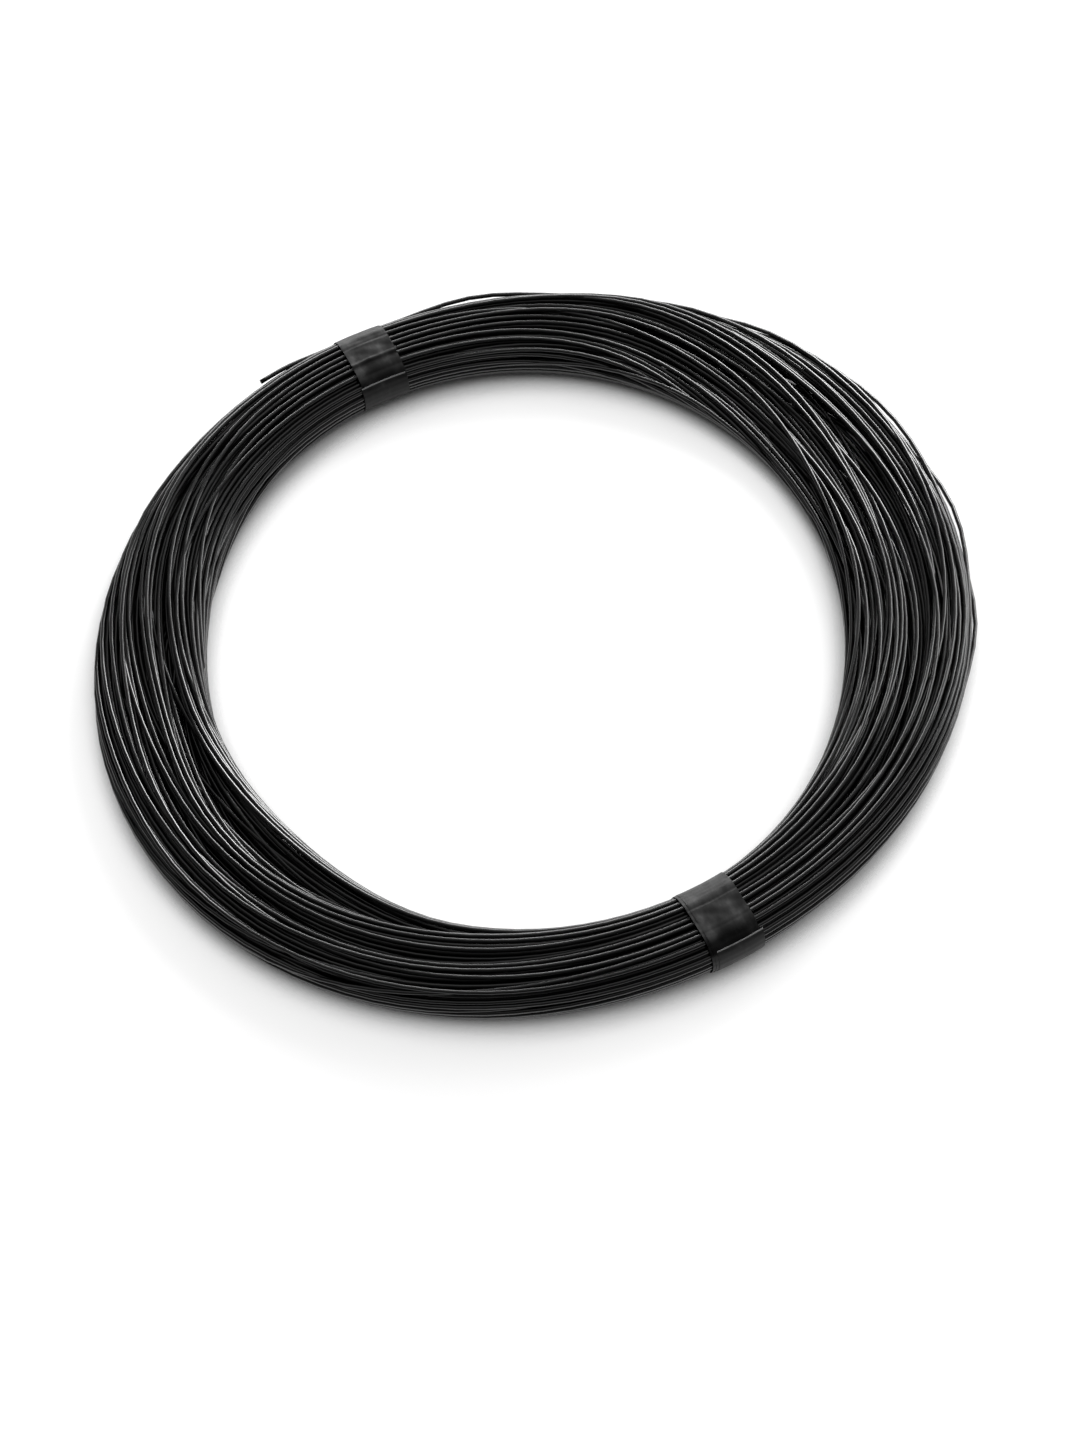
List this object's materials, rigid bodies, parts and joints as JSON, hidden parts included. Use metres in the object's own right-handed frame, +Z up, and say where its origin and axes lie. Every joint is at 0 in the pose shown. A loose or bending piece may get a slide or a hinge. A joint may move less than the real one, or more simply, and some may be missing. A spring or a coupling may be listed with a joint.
{
  "type": "coil of tension wire",
  "caption": "Flat-lying coil of black plastic-coated tension wire, wound into a ring and bound with bands of tape, for straining a fence or tying plants.",
  "frame": {"origin": "middle of the coil's outside, on the floor it lies on", "axes": "+Z up along the coil's axis, +Y away from the viewer of the picture, +X to the viewer's right; the fans open along about 28 and 208 degrees from +X"},
  "size_m": [0.3324, 0.3178, 0.0228],
  "materials": {
    "wire_coating": "satin black plastic coating",
    "tape": "satin black insulating tape"
  },
  "bodies": {
    "root": {"wire_coil": "wire_coating", "wire_end": "wire_coating", "tape_rear": "tape", "tape_front": "tape"}
  },
  "joints": []
}
